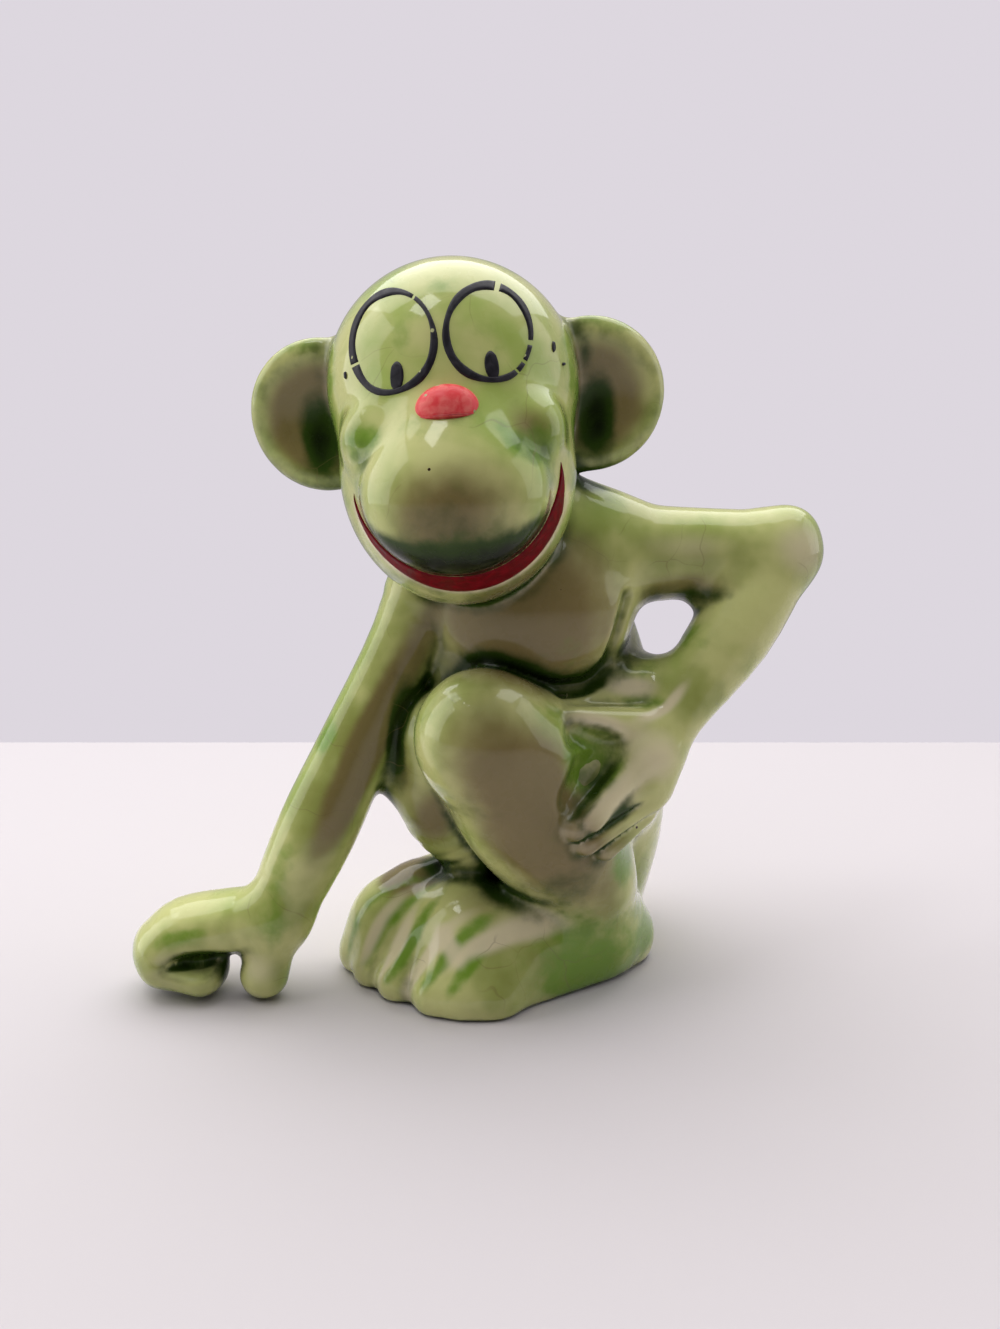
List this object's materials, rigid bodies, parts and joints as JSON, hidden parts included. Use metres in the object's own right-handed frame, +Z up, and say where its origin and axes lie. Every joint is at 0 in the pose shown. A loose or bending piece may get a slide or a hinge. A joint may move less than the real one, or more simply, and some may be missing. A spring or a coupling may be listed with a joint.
{
  "type": "ceramic monkey figurine",
  "caption": "Crouching glazed ceramic monkey with large cupped ears, one hand on its hip and the other on the table; a shelf ornament",
  "frame": {"origin": "on the table, under the middle of the bounding box", "axes": "+Z up; the face looks towards -Y; +X is the monkey's left"},
  "size_m": [0.0972, 0.0542, 0.0995],
  "materials": {
    "glaze": "glossy pale green glaze, mauve where thin and dark green where it pools",
    "nose_paint": "glossy red cold paint",
    "mouth_paint": "dark red cold paint",
    "black_paint": "worn black cold paint"
  },
  "bodies": {
    "root": {"torso_shell": "glaze", "head_shell": "glaze", "left_ear": "glaze", "right_ear": "glaze", "left_arm": "glaze", "right_arm": "glaze", "left_leg": "glaze", "right_leg": "glaze", "left_foot": "glaze", "right_foot": "glaze", "nose_button": "nose_paint", "mouth_paint": "mouth_paint", "left_eye_outline": "black_paint", "right_eye_outline": "black_paint", "left_pupil": "black_paint", "right_pupil": "black_paint"}
  },
  "joints": []
}
